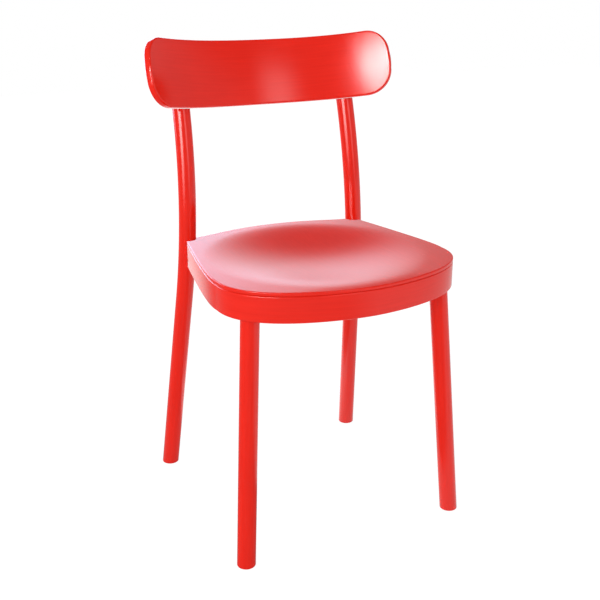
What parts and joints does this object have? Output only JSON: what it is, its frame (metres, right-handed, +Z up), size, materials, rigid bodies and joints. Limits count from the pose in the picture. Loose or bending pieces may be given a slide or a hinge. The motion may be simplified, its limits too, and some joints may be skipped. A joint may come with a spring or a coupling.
{
  "type": "side chair",
  "caption": "Lacquered bentwood side chair: dished seat on a deep round-cornered hoop, splayed round legs, bent rear posts and a curved backrest panel.",
  "frame": {"origin": "on the floor, in the middle of the chair's bounding box seen from above", "axes": "+Z up; the chair faces -Y; +X is to the right seen from the front"},
  "size_m": [0.4614, 0.454, 0.809],
  "materials": {
    "red_lacquer": "satin red lacquer over fine-grained wood",
    "zinc_steel": "zinc-plated steel fasteners",
    "yellow_zinc": "yellow zinc-plated inserts",
    "grey_plastic": "matt moulded glides"
  },
  "bodies": {
    "root": {"seat_panel": "red_lacquer", "seat_ring": "red_lacquer", "front_leg_left": "red_lacquer", "front_leg_right": "red_lacquer", "rear_leg_left": "red_lacquer", "rear_leg_right": "red_lacquer", "backrest": "red_lacquer", "rear_bolt_left_lower": "zinc_steel", "rear_bolt_left_upper": "zinc_steel", "rear_bolt_right_lower": "zinc_steel", "rear_bolt_right_upper": "zinc_steel", "bolt_washer_left_lower": "zinc_steel", "bolt_washer_left_upper": "zinc_steel", "bolt_washer_right_lower": "zinc_steel", "bolt_washer_right_upper": "zinc_steel", "leg_insert_left_lower": "yellow_zinc", "leg_insert_left_upper": "yellow_zinc", "leg_insert_right_lower": "yellow_zinc", "leg_insert_right_upper": "yellow_zinc", "back_screw_left_lower": "zinc_steel", "back_screw_left_upper": "zinc_steel", "back_screw_right_lower": "zinc_steel", "back_screw_right_upper": "zinc_steel", "front_screw_left": "zinc_steel", "front_screw_right": "zinc_steel", "foot_glide_front_left": "grey_plastic", "foot_glide_front_right": "grey_plastic", "foot_glide_rear_left": "grey_plastic", "foot_glide_rear_right": "grey_plastic", "glide_nail_front_left": "zinc_steel", "glide_nail_front_right": "zinc_steel", "glide_nail_rear_left": "zinc_steel", "glide_nail_rear_right": "zinc_steel"}
  },
  "joints": []
}
